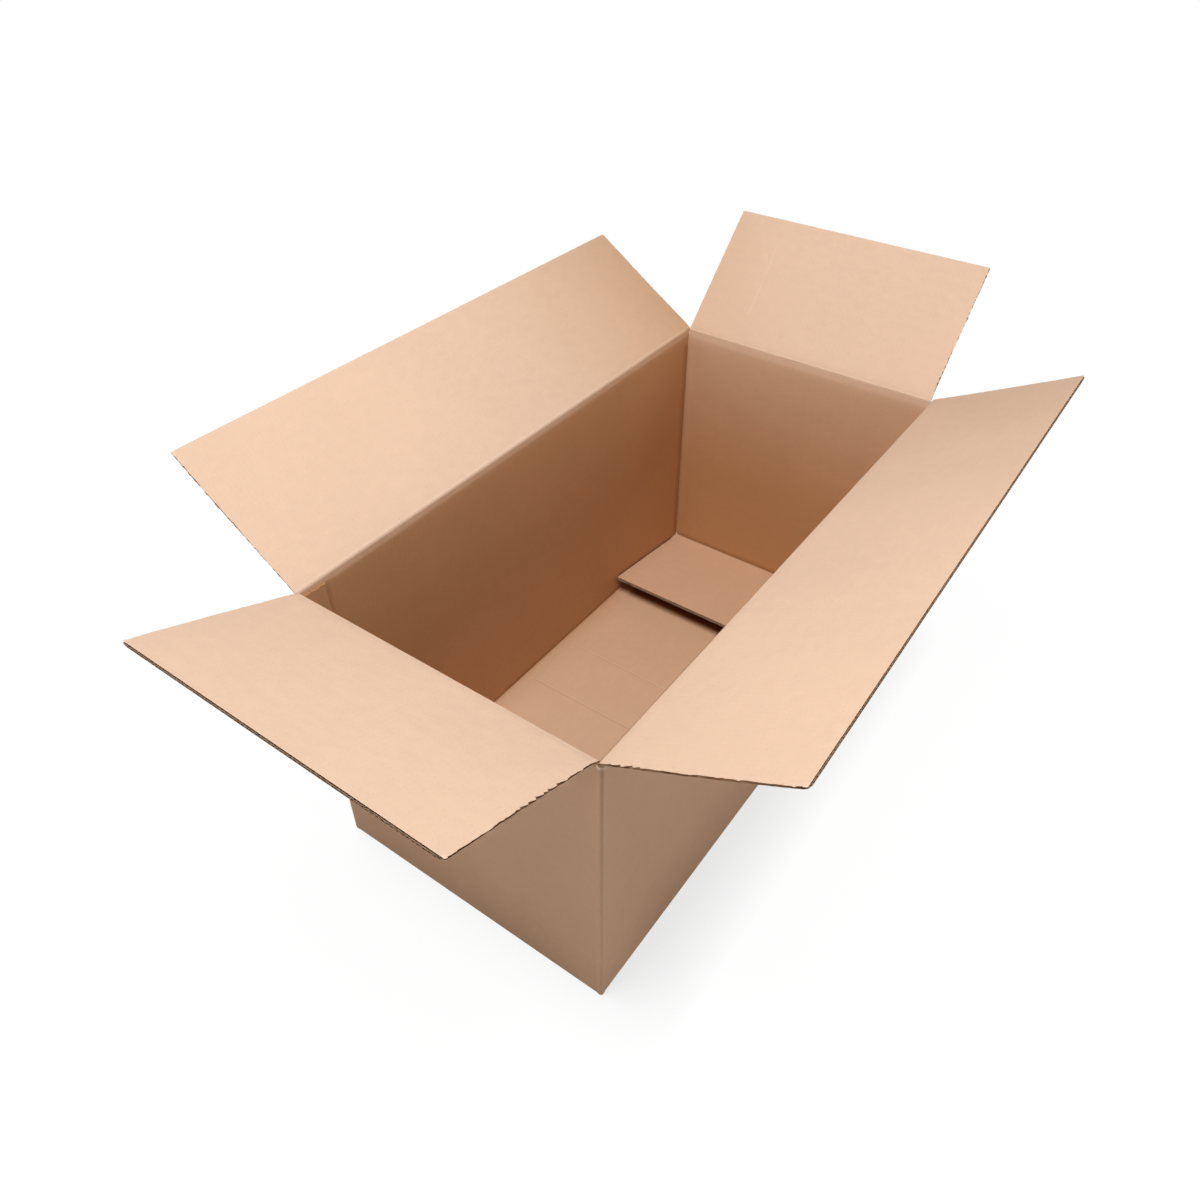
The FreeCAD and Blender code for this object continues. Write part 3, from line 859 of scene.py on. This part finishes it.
def end_wall_section(top, length, lift):
    """From a short bottom flap's free edge, down to its fold over the long flaps, and up the wall."""
    run = np.concatenate([[length, length - 0.4 * MM, length - 1.2 * MM, length - 3 * MM],
                          np.linspace(length - 8 * MM, 12 * MM, 24)])
    slope = np.array([-math.cos(lift), math.sin(lift)])
    normal = np.array([math.sin(lift), math.cos(lift)])
    root = np.array([-BOARD, BOARD + 0.3 * MM])
    outer = [tuple(root + slope * place) for place in run]
    inner = [tuple(root + slope * place + normal * BOARD) for place in run]
    outer += [(-12 * MM, 8.1 * MM), (-8.4 * MM, 7.2 * MM), (-6.9 * MM, 4.0 * MM), (-4.6 * MM, 0.9 * MM),
              (-2.4 * MM, 0.1 * MM), (-0.7 * MM, 0.9 * MM), (0, 3.4 * MM), (0, 8 * MM)]
    inner += [(-13.5 * MM, 15.1 * MM), (-10.5 * MM, 14.9 * MM), (-8.6 * MM, 15.0 * MM),
              (-7.6 * MM, 15.5 * MM), (-7.1 * MM, 16.6 * MM), (-7 * MM, 18.5 * MM), (-7 * MM, 21.5 * MM),
              (-7 * MM, 25 * MM)]
    for height in wall_rows(top, 30 * MM):
        inner.append((-BOARD, height))
        outer.append((0.0, height))
    return inner, outer


def finish_section(inner, outer):
    """A Section whose path ends at the lap below the score, measured along the middle of the board."""
    inner, outer = np.array(inner, float), np.array(outer, float)
    middle = (inner + outer) / 2
    steps = np.linalg.norm(np.diff(middle, axis=0), axis=1)
    path = np.concatenate([[0], np.cumsum(steps)])
    path += -WALL_LAP - path[-1]
    return Section(path, inner, outer)

# %% [markdown]
# ## Putting a wall together
# A wall is made as a flap is, but rides whole on the carton. Its inner paper carries painted shade: the
# shade of the box, the dark line of the fold at the floor, the dark line in each inside corner, the fine
# shadow beside the glue flap and the shade under the short bottom flaps. On the long bottom flaps, two
# faint creases that cross the floor each get a painted highlight on the ridge and painted shade at the
# foot. The board runs up to the lap, where the top flap's piece takes over in the same tone.

# %% Make the four walls
FLAP_LENGTH = HINGES["left_long_flap"]["length"]
SEAM = 0.15 * MM
SHORT_BOTTOM = FLAP_LENGTH - BOARD
WALLS = {
    "left_long": {"flap": "left_long_flap", "lift": None, "seed": 61},
    "right_long": {"flap": "right_long_flap", "lift": None, "seed": 71},
    "far_end": {"flap": "far_end_flap", "lift": math.radians(7.5), "seed": 83},
    "near_end": {"flap": "near_end_flap", "lift": math.radians(4), "seed": 97},
}
FLOOR_CREASES = {62 * MM: 0.6, -50 * MM: 1.0}


def make_wall(name):
    """One wall with its bottom flap, from the flap's free edge to the lap under the top score."""
    look = WALLS[name]
    hinge, seed = HINGES[look["flap"]], look["seed"]
    top = hinge["pivot"][2] - WALL_LAP
    is_long = look["lift"] is None
    if is_long:
        section = finish_section(*long_wall_section(top, SEAM))
    else:
        section = finish_section(*end_wall_section(top, SHORT_BOTTOM, look["lift"]))
    rows = section.path
    wall_start = -hinge["pivot"][2]
    fold_at = wall_start + (4.3 * MM if is_long else 6.6 * MM)
    origin = np.array([hinge["pivot"][0], hinge["pivot"][1], 0.0])
    half = hinge["half"]

    def on_bottom(path):
        """0 on the wall, 1 on the bottom flap from a little way past the fold."""
        return climb(wall_start - 10 * MM - path, 12 * MM)

    def warp(fold, path):
        on_wall = climb(path - wall_start - 20 * MM, 60 * MM)
        on_wall = on_wall * climb(-WALL_LAP - path, 70 * MM)
        inside = climb(half - np.abs(fold), 80 * MM)
        push = on_wall * inside * slow_waves(fold, path, 0.6, 1.0 * MM, seed)
        if is_long:
            on_floor = climb(wall_start - path, 30 * MM)
            for crease, strength in FLOOR_CREASES.items():
                ridge = bell(fold - crease, 2.2 * MM)
                push = push + on_floor * strength * 0.8 * MM * ridge
        return push

    def crush(fold, path):
        at_side = pressed(half - np.abs(fold), 8 * MM, 0.35) * on_bottom(path)
        at_free = pressed(path - rows[0], 5 * MM, 0.25)
        return 1 - (1 - at_side) * (1 - at_free)

    def shape(fold, path):
        return 0.0, 0.0, 0.0

    def edges(path):
        cut_back = 0.6 * MM if is_long else 2.2 * MM
        pairs = []
        for paper_seed in (seed, seed + 300):
            pairs.append([on_bottom(path) * (knife_edge(path, paper_seed + side, 0.4) - cut_back)
                          for side in (0, 7)])
        return pairs

    def pockets(path):
        return 0.2 * MM + on_bottom(path) * 1.8 * MM

    def marks(fold, path, is_inner, is_rim):
        from_side = half - np.abs(fold)
        on_floor = path < wall_start - 20 * MM
        # Painted shade: a dark line in each inside corner and along the fold to the floor.
        at_corner = bell(from_side, 1.6 * MM)
        above = path - fold_at
        fold_shade_line = bell(above, np.where(above > 0, 5 * MM, 2.2 * MM))
        score = 0.5 * at_corner + fold_shade_line
        wear = np.zeros(len(path))
        # Painted shade: the walls take the box's shade, and the floor a lighter shade that deepens close to
        # the fold.
        down = climb(-path - WALL_LAP, 0.5 * -wall_start)
        wall_shade = long_wall_shade(fold, half) if is_long else END_WALL_SHADE * (1 + down)
        floor_shade = 0.40 + 0.17 * np.clip(fold / 0.3, -1, 1) if is_long else 0.5
        floor_shade_by_fold = floor_shade + 0.4 * np.exp(np.clip(above, -1, 0) / (14 * MM)) * is_long
        depth = np.where(above > -1.5 * MM, wall_shade, floor_shade_by_fold)
        if is_long:
            # Painted shade beside the glue flap, in a band at each end of the long walls, and on the floor
            # under the short bottom flaps.
            score = score + glue_shadow(fold) * ~on_floor * (name == "left_long")
            score = score + 0.45 * climb(13.5 * MM - from_side, 3 * MM) * ~on_floor
            under = climb(fold - (HALF_LENGTH - SHORT_BOTTOM - 4 * MM), 12 * MM)
            score = score + on_floor * under
            depth = np.where(on_floor, np.maximum(depth, under), depth)
            for crease, strength in FLOOR_CREASES.items():
                # Each floor crease gets a painted highlight on its ridge and painted shade at its foot.
                ridge = bell(fold - crease, 1.6 * MM)
                foot = bell(fold - crease + 3 * MM, 1.4 * MM)
                wear = wear + 0.16 * strength * on_floor * ridge
                score = score + 0.35 * strength * on_floor * foot
        else:
            # A faint painted highlight on the end walls beside the corners, and the fold line lighter within
            # 3 mm of the sides.
            wear = wear + 0.04 * climb(16 * MM - from_side, 4 * MM) * ~on_floor
            wear = wear + 0.9 * fold_shade_line * (from_side < 3 * MM)
        lip = 0.0 if is_long else 0.3 * (path < rows[0] + 1 * MM)
        # Painted shade along the outer fold at the floor, and on the underside of the short bottom flaps.
        outer_fold_shade = 0.35 * bell(path - wall_start, 3 * MM)
        underside_shade = 0.0 if is_long else 1.0 * on_floor
        return {"depth": np.where(is_inner, depth, underside_shade),
                "score": np.clip(np.where(is_inner, score, outer_fold_shade), 0, 1),
                "wear": np.where(is_inner, wear, lip)}

    place = placer(section, origin, hinge["along"], hinge["out"], warp, crush, shape)
    near_crease = np.array([-6, -4, -2.6, -1.3, 0, 1.3, 2.6, 4, 6]) * MM
    extra = np.concatenate([crease + near_crease for crease in FLOOR_CREASES]) if is_long else ()
    board = board_piece(f"{name}_wall_board", place, rows, half, edges, pockets, 0, marks,
                        FLAP_LOOKS[look["flap"]]["blank"], extra)
    flutes = flute_piece(f"{name}_bottom_flutes", place, -half + 3 * MM, half - 3 * MM, rows[0], -1,
                         seed + 900)
    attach(board, "carton")
    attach(flutes, "carton")
    return board


walls = [make_wall(name) for name in WALLS]
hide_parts("carton_body")

# %% [markdown]
# ## The upright folds
# Where two walls meet, the board is folded on an upright score. Outside, the paper shows a narrow pressed
# band with a soft shoulder on each side, deeper near the top and darkened there by painted shade, and
# inside a dark line of painted shade, with the inside faces painted in the box's shade. Each fold is a
# small L-shaped prism between the slots.

# %% Make the four upright folds
BAND_FIRST, BAND_LAST, INSIDE_FIRST = 3, 6, 10


def corner_outline(pinch):
    """The closed outline of a fold in (past the end wall's slot, past the long wall's slot) offsets.

    pinch from 0 to 1 is how deeply the score is pressed in."""
    size = BOARD + SLOT_CLEARANCE
    shoulder = 0.35 * MM * pinch
    flat = 1.5 * MM + 0.8 * MM * pinch
    dent = 0.5 * MM * pinch
    outer = [(0, size), (size - flat - 2.2 * MM, size + shoulder),
             (size - flat - 0.7 * MM, size + shoulder * 0.5), (size - flat, size - 0.35 * MM)]
    middle = [(size - flat * 0.62 - dent, size - flat * 0.38 - dent),
              (size - flat * 0.38 - dent, size - flat * 0.62 - dent)]
    mirrored = [(second, first) for first, second in outer[::-1]]
    inner = [(SLOT_CLEARANCE, 0), (SLOT_CLEARANCE, SLOT_CLEARANCE), (0, SLOT_CLEARANCE)]
    return np.array(outer + middle + mirrored + inner)


def make_corner(name, side_x, side_y, seed):
    """One upright fold between a long wall and an end wall."""
    slot_x = HALF_LENGTH - BOARD - SLOT_CLEARANCE
    slot_y = HALF_WIDTH - BOARD - SLOT_CLEARANCE
    top = HINGES["far_end_flap"]["pivot"][2] - 0.6 * MM
    heights = np.concatenate([np.array([1.5, 3, 6]) * MM, np.linspace(12 * MM, top - 6 * MM, 30),
                              top - np.array([3, 1, 0]) * MM])
    rings = []
    for height in heights:
        pinch = 0.25 + 0.75 * climb(height, top) ** 1.5
        rings.append(corner_outline(pinch))
    rings = np.array(rings)
    count, size = rings.shape[:2]
    order = np.arange(size)
    level = np.repeat(heights[:, None], size, 1)
    level[-1] += ragged(order * MM, 1.2 * MM, 0.9 * MM, seed)
    points = np.stack([side_x * (slot_x + rings[..., 0]), side_y * (slot_y + rings[..., 1]), level], -1)
    numbers = np.arange(count * size).reshape(count, size)
    walls_faces = np.concatenate([ring_faces(numbers[step], numbers[step + 1]) for step in range(count - 1)])
    flat = np.stack([np.tile(order * 1.5 * MM, count) + CORNER_START, level.ravel()], -1)
    is_band = (order >= BAND_FIRST) & (order <= BAND_LAST)
    strength = 0.05 + 0.95 * climb(heights / top - 0.3, 0.7)
    # Painted shade: the inside faces take the box's shade and the pressed band a dark line, stronger near
    # the top. The torn top is lighter.
    marks = {"depth": np.tile((order >= INSIDE_FIRST) * 1.0, count),
             "score": (strength[:, None] * is_band[None] * 0.32).ravel(),
             "wear": np.repeat(0.7 * np.clip(1 - (top - heights) / (4 * MM), 0, 1), size)}
    paint = np.where((order >= INSIDE_FIRST) & (order < size - 1), INSIDE, OUTSIDE)
    paints = np.tile(paint, count - 1)
    mesh_faces = walls_faces.tolist() + [numbers[0][::-1].tolist(), numbers[-1].tolist()]
    paints = np.concatenate([paints, [RAW, RAW]])
    piece = make_mesh(name, points.reshape(-1, 3), np.array(mesh_faces, object), PAPERS, paints, flat, marks)
    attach(piece, "carton")
    return piece


for corner, (side_x, side_y) in {"near_left": (-1, 1), "near_right": (-1, -1), "far_left": (1, 1),
                                 "far_right": (1, -1)}.items():
    make_corner(f"{corner}_upright_fold", side_x, side_y, 130 + 7 * side_x + 3 * side_y)
print("upright folds made")

# %% [markdown]
# ## The glue flap
# The blank is closed into a tube by a narrow flap on the near end wall, glued to the inside of the left
# long wall. It is the same board, pressed a little thinner, with slanted ends and a torn top. It is painted
# in the box's shade, darker and mottled along its top, and a fine shadow line is painted down the wall
# beside its free edge.

# %% Make the glue flap
GLUE_THICK = 5 * MM
GLUE_SLANT = 1.5 * MM
GLUE_FOOT = 22 * MM


def make_glue_flap():
    """A slab on the wall whose two ends slant back over its width."""
    left, right = -HALF_LENGTH + BOARD, -HALF_LENGTH + BOARD + GLUE_WIDTH
    back = HALF_WIDTH - BOARD
    high = HINGES["near_end_flap"]["pivot"][2] - 0.8 * MM
    across = np.concatenate([np.linspace(0, 0.93, 26), [0.96, 0.99, 1.0]])
    ends = np.array([0, 0.003, 0.008, 0.014, 0.021])
    up = np.concatenate([ends, np.linspace(0.03, 0.97, 60), 1 - ends[::-1]])
    share_up, share_across = np.meshgrid(up, across, indexing="ij")
    slant = GLUE_SLANT * share_across
    height = GLUE_FOOT + slant + share_up * (high - GLUE_FOOT - 2 * slant)
    edge = ragged(height, 9 * MM, 0.5 * MM, 211) * (share_across > 0.93)
    x = left + (right - left) * share_across + edge
    height = height - (share_up == 1) * np.abs(ragged(x, 2.2 * MM, 1.6 * MM, 223))
    drop = 1.2 * MM * climb(share_across - 0.93, 0.07) ** 2
    face = back - GLUE_THICK + drop + 0.3 * MM * np.sin(height * 31)
    inner = np.stack([x, face, height], -1)
    outer = np.stack([x, np.full_like(x, back - 0.05 * MM), height], -1)
    count, columns = x.shape
    cells = count * columns
    border = rim_loop(count, columns)
    numbers = border[:, 0] * columns + border[:, 1]
    faces = [grid_faces(count, columns, 0), grid_faces(count, columns, cells),
             ring_faces(numbers, numbers + cells)]
    paints = [np.full(len(faces[0]), INSIDE), np.full(len(faces[1]), OUTSIDE), np.full(len(border), INSIDE)]
    flat = np.stack([x.ravel() + GLUE_START, height.ravel()], -1)
    # Painted shade: the slab takes the box's shade, and its top a darker, mottled line.
    near_top = np.tile((share_up.ravel() == 1) * 1.0, 2)
    fluff = 0.5 + ragged(np.tile(x.ravel(), 2), 1.7 * MM, 0.5, 227)
    marks = {"depth": 0.88 + 0.12 * near_top, "score": near_top * (1 - 0.45 * fluff),
             "wear": np.zeros(2 * cells)}
    points = np.concatenate([inner.reshape(-1, 3), outer.reshape(-1, 3)])
    piece = make_mesh("glue_flap_board", points, np.concatenate(faces), PAPERS, np.concatenate(paints),
                      np.concatenate([flat, flat]), marks)
    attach(piece, "carton")
    return piece


make_glue_flap()
print("glue flap", round(GLUE_WIDTH / MM), "mm wide")

# %% [markdown]
# ## Floor and light
# The box stands on a white studio floor that melts into a white background. The floor's material shows
# white to the camera by a glow of its own, but still takes the box's shadow faintly, and a painted shadow,
# from how much of the box lies within a short reach, dims its glow close to the box, leaning to one side.
# One large soft lamp hangs overhead, so the flaps are bright and the inside, with its painted shade, goes
# deep brown. Three weaker lamps stand low, on the left, on the right and behind, and keep the outer walls
# in open shade.

# %% The studio
FLOOR_REACH = 30.0
WHITE_START = 1.0
WHITE_RISE = 0.9
SHADE_REACH = 0.11
GLOW_LEAST = 0.635
GLOW_OPEN = 0.34
SURROUND_LEVEL = 0.024
BOX_MIDDLE = (0.0, 0.0, 0.35)
BOX_LOW = (0.0, 0.0, 0.2)


def shader_node(tree, kind, **levels):
    """A shader node with its sockets set by their names."""
    node = add_node(tree, kind)
    for label, value in levels.items():
        node.inputs[label].default_value = value
    return node.outputs[0]


def mix_shader(tree, factor, first, second):
    """The first shader where the factor is 0 and the second one where it is 1."""
    node = add_node(tree, "ShaderNodeMixShader")
    for socket, source in zip(node.inputs, (factor, first, second)):
        wire(tree, source, socket)
    return node.outputs[0]


def make_floor():
    """A wide white floor that the camera sees as white except in the box's shadow and a painted shadow close
    to the box.
    """
    material = bpy.data.materials.new("studio_floor")
    tree = fresh_tree(material)
    path = add_node(tree, "ShaderNodeLightPath")
    seen = math_node(tree, "MAXIMUM", path.outputs["Is Camera Ray"], path.outputs["Is Glossy Ray"])
    seen = math_node(tree, "MAXIMUM", seen, path.outputs["Is Transmission Ray"])
    shadow_catcher = shader_node(tree, "ShaderNodeBsdfDiffuse", Color=(0.05, 0.05, 0.05, 1))
    # Painted shadow: the glow dims where the box fills a tilted half view within a short reach, so the
    # shadow leans to one side.
    painted_shadow_ao = add_node(tree, "ShaderNodeAmbientOcclusion", samples=8)
    painted_shadow_ao.inputs["Distance"].default_value = SHADE_REACH
    shadow_lean = add_node(tree, "ShaderNodeCombineXYZ")
    for socket, share in zip(shadow_lean.inputs, (-0.55, 0.65, 0.52)):
        socket.default_value = share
    wire(tree, shadow_lean.outputs[0], painted_shadow_ao.inputs["Normal"])
    glow = add_node(tree, "ShaderNodeEmission")
    open_share = math_node(tree, "MULTIPLY", painted_shadow_ao.outputs["AO"], GLOW_OPEN)
    wire(tree, math_node(tree, "ADD", open_share, GLOW_LEAST), glow.inputs["Strength"])
    lit = add_node(tree, "ShaderNodeAddShader")
    wire(tree, shadow_catcher, lit.inputs[0])
    wire(tree, glow.outputs[0], lit.inputs[1])
    plain_white = shader_node(tree, "ShaderNodeEmission", Strength=1.0)
    place = add_node(tree, "ShaderNodeTexCoord").outputs["Object"]
    reach = add_node(tree, "ShaderNodeVectorMath", operation="LENGTH")
    wire(tree, place, reach.inputs[0])
    rise = math_node(tree, "MULTIPLY", reach.outputs["Value"], WHITE_RISE)
    fade = math_node(tree, "SUBTRACT", rise, WHITE_RISE * WHITE_START, True)
    backdrop = mix_shader(tree, fade, lit.outputs[0], plain_white)
    bounce = shader_node(tree, "ShaderNodeBsdfDiffuse", Color=(0.80, 0.80, 0.80, 1))
    output = add_node(tree, "ShaderNodeOutputMaterial")
    wire(tree, mix_shader(tree, seen, bounce, backdrop), output.inputs["Surface"])
    mesh = bpy.data.meshes.new("studio_floor")
    far = FLOOR_REACH
    mesh.from_pydata([(-far, -far, 0), (far, -far, 0), (far, far, 0), (-far, far, 0)], [], [(0, 1, 2, 3)])
    mesh.materials.append(material)
    floor = bpy.data.objects.new("studio_floor", mesh)
    scene.collection.objects.link(floor)


def make_world(level):
    """A plain surround: white to the camera, and a weak even light for everything else."""
    world = bpy.data.worlds.new("surround")
    scene.world = world
    tree = fresh_tree(world)
    path = add_node(tree, "ShaderNodeLightPath")
    weak = shader_node(tree, "ShaderNodeBackground", Color=(1, 1, 1, 1), Strength=level)
    white = shader_node(tree, "ShaderNodeBackground", Color=(1, 1, 1, 1), Strength=1.0)
    chosen = mix_shader(tree, path.outputs["Is Camera Ray"], weak, white)
    output = add_node(tree, "ShaderNodeOutputWorld")
    wire(tree, chosen, output.inputs["Surface"])


def make_lamp(name, place, aim, size, power):
    """A square soft lamp that faces its aim."""
    data = bpy.data.lights.new(name, "AREA")
    data.shape = "SQUARE"
    data.size = size
    data.energy = power
    lamp = bpy.data.objects.new(name, data)
    scene.collection.objects.link(lamp)
    lamp.location = place
    offset = np.array(aim, float) - np.array(place, float)
    flat_reach = math.hypot(offset[0], offset[1])
    lamp.rotation_euler = Euler((math.atan2(flat_reach, -offset[2]), 0,
                                 math.atan2(offset[1], offset[0]) - math.pi / 2))
    return lamp


make_floor()
make_world(SURROUND_LEVEL)
make_lamp("overhead_lamp", (-0.5, -0.17, 2.4), BOX_MIDDLE, 1.1, 44.8)
make_lamp("left_card", (-2.2, 0.6, 0.8), BOX_MIDDLE, 1.2, 13.5)
make_lamp("right_card", (0.6, -2.2, 0.8), BOX_MIDDLE, 1.2, 16.5)
make_lamp("back_card", (1.8, 1.6, 0.5), BOX_LOW, 1.2, 11)
scene.view_settings.view_transform = "Standard"
